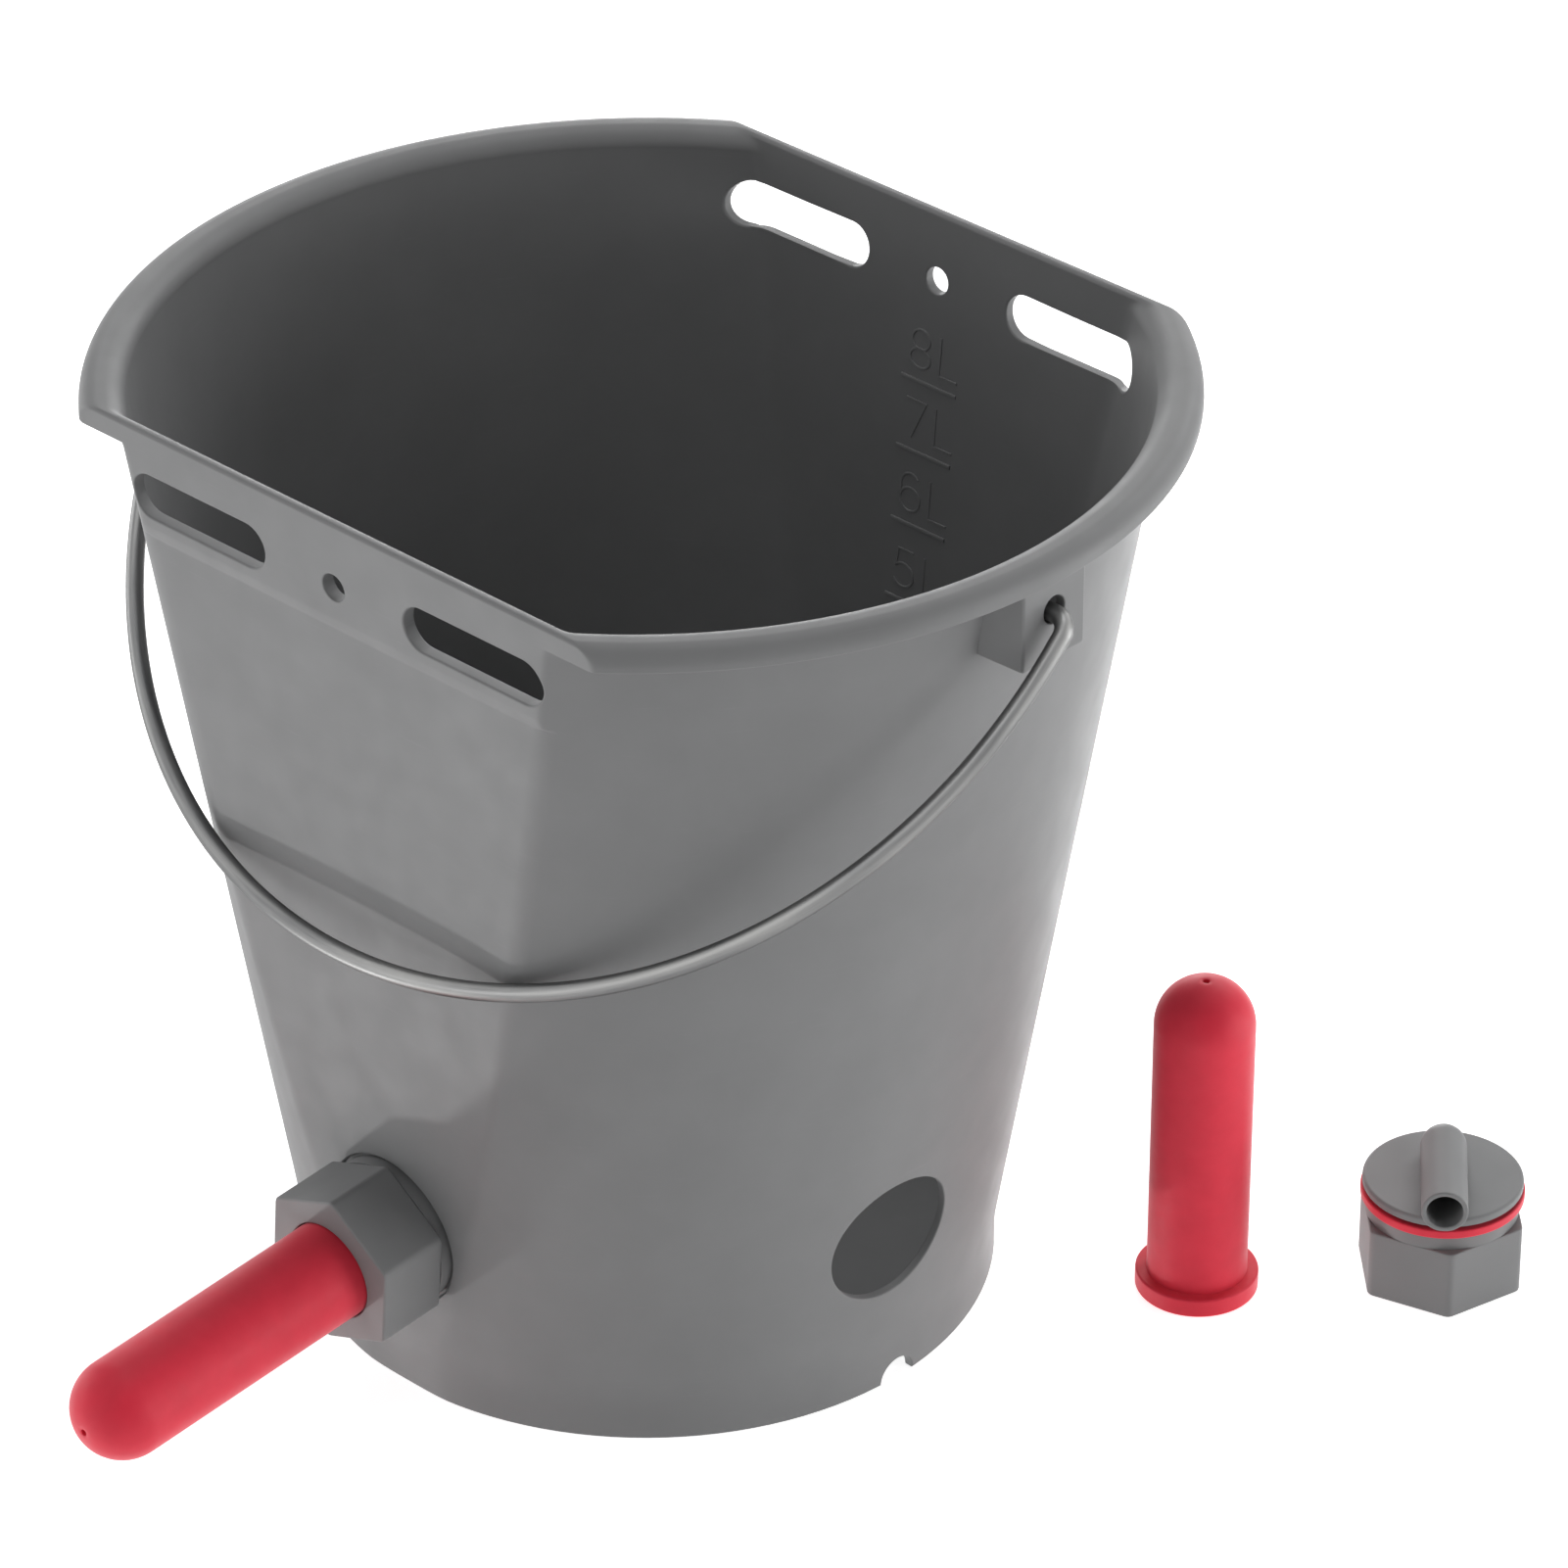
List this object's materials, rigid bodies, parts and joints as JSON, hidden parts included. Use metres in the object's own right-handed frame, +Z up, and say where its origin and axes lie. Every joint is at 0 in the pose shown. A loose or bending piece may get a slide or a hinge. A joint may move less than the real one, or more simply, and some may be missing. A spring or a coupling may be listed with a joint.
{
  "type": "calf feeder bucket",
  "caption": "Tapered grey pail with two flat sides, slotted top bands, wire bail, and a screwed-on red rubber teat with a check valve; spare teat and valve beside it.",
  "frame": {"origin": "centre of the bucket's foot ring, on the ground", "axes": "+Z up; -Y is the front flat side with the teat; +X is the ear on the side of the spare valve hole"},
  "size_m": [0.3496, 0.375, 0.2776],
  "materials": {
    "grey_plastic": "satin moulded",
    "valve_plastic": "satin moulded",
    "galvanised_wire": "galvanised",
    "red_rubber": "smooth",
    "white_plastic": "smooth"
  },
  "bodies": {
    "bucket": {"bucket": "grey_plastic", "valve_body": "valve_plastic", "valve_gasket": "red_rubber", "valve_ball_cage": "white_plastic"},
    "bail": {"bail": "galvanised_wire"},
    "teat": {"teat": "red_rubber"},
    "nut": {"valve_nut": "valve_plastic"},
    "ball": {"valve_ball": "white_plastic"},
    "spare_teat": {"spare_teat": "red_rubber"},
    "spare_nut": {"spare_nut": "valve_plastic"},
    "spare_gasket": {"spare_gasket": "red_rubber"},
    "spare_valve": {"spare_valve_body": "valve_plastic", "spare_ball_cage": "white_plastic"},
    "spare_ball": {"spare_ball": "white_plastic"}
  },
  "joints": [
    {"name": "bail_swing", "type": "hinge", "parent": "bucket", "child": "bail", "pos_m": [0, 0, 0.2604], "axis": [-1, 0, 0], "range_deg": [0, 265.8]},
    {"name": "teat_slide", "type": "slide", "parent": "bucket", "child": "teat", "axis": [0, -0.9976, -0.0685], "range_m": [0, 0.0091]},
    {"name": "nut_turn", "type": "hinge", "parent": "teat", "child": "nut", "pos_m": [0, -0.09922, 0.0527], "axis": [0, -0.9976, -0.0685], "range_deg": [0, 1080]},
    {"name": "ball_slide", "type": "slide", "parent": "bucket", "child": "ball", "axis": [0, 0.9976, 0.0685], "range_m": [0, 0.0025]},
    {"name": "spare_teat_lift", "type": "slide", "parent": "bucket", "child": "spare_teat", "axis": [0, 0, 1], "range_m": [0, 0.06]},
    {"name": "spare_nut_lift", "type": "slide", "parent": "bucket", "child": "spare_nut", "axis": [0, 0, 1], "range_m": [0, 0.06]},
    {"name": "spare_gasket_rise", "type": "slide", "parent": "spare_nut", "child": "spare_gasket", "axis": [0, 0, 1], "range_m": [0, 0.0091]},
    {"name": "spare_valve_turn", "type": "hinge", "parent": "spare_gasket", "child": "spare_valve", "pos_m": [0.1712, 0.1389, 0.03], "axis": [0, 0, 1], "range_deg": [0, 1080]},
    {"name": "spare_ball_slide", "type": "slide", "parent": "spare_valve", "child": "spare_ball", "axis": [0, 0, 1], "range_m": [0, 0.0025]}
  ],
  "couplings": [
    {"joint": "teat_slide", "follows": "nut_turn", "m_per_rad": 0.00047746},
    {"joint": "spare_gasket_rise", "follows": "spare_valve_turn", "m_per_rad": 0.00047746}
  ]
}
